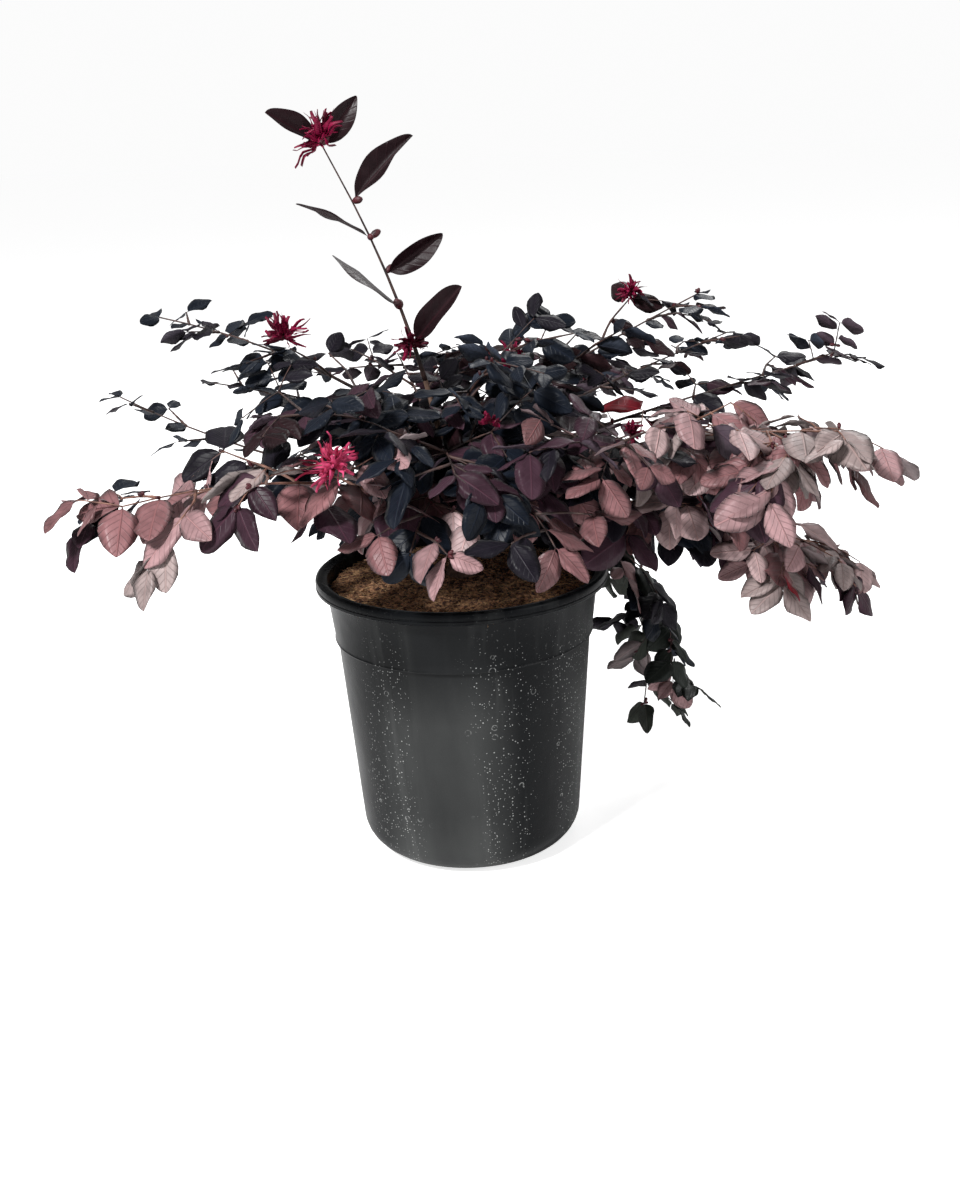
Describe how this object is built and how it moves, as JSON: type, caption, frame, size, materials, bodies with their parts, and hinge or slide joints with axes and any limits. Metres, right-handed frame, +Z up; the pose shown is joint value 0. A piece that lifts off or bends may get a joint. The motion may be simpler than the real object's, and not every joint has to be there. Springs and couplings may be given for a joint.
{
  "type": "potted chinese fringe flower",
  "caption": "Young purple-leaved fringe flower in a round nursery pot: short trunk, arching boughs with loose leafy masses, and one tall thin leader.",
  "frame": {"origin": "middle of the pot's flat underside", "axes": "+Z up along the pot's axis, -Y towards the front of the picture, +X to its right"},
  "size_m": [0.562, 0.4156, 0.5215],
  "materials": {
    "pot_plastic": "semi-gloss black",
    "potting_mix": "rough, moist bark and coir",
    "bark": "matte bark",
    "dark_leaves": "satin leaf, dark purple",
    "rosy_leaves": "satin leaf, dusty rose"
  },
  "bodies": {
    "root": {"pot": "pot_plastic", "potting_mix": "potting_mix", "trunk": "bark", "bough_leader": "bark", "foliage_leader": "rosy_leaves", "bough_upper_left": "bark", "foliage_upper_left": "dark_leaves", "bough_left": "bark", "foliage_left": "dark_leaves", "bough_left_behind": "bark", "foliage_left_behind": "dark_leaves", "bough_low_left": "bark", "foliage_low_left": "rosy_leaves", "bough_front_left": "bark", "foliage_front_left": "dark_leaves", "bough_front_right": "bark", "foliage_front_right": "dark_leaves", "bough_middle_left": "bark", "foliage_middle_left": "dark_leaves", "bough_middle": "bark", "foliage_middle": "dark_leaves", "bough_middle_top": "bark", "foliage_middle_top": "dark_leaves", "bough_middle_right": "bark", "foliage_middle_right": "dark_leaves", "bough_upper_right": "bark", "foliage_upper_right": "dark_leaves", "bough_high_right": "bark", "foliage_high_right": "dark_leaves", "bough_far_right": "bark", "foliage_far_right": "dark_leaves", "bough_right": "bark", "foliage_right": "rosy_leaves", "bough_low_right": "bark", "foliage_low_right": "rosy_leaves", "bough_hanging_right": "bark", "foliage_hanging_right": "dark_leaves", "bough_back_right": "bark", "foliage_back_right": "dark_leaves", "bough_back": "bark", "foliage_back": "dark_leaves", "bough_middle_back": "bark", "foliage_middle_back": "dark_leaves", "bough_back_left": "bark", "foliage_back_left": "dark_leaves"}
  },
  "joints": []
}
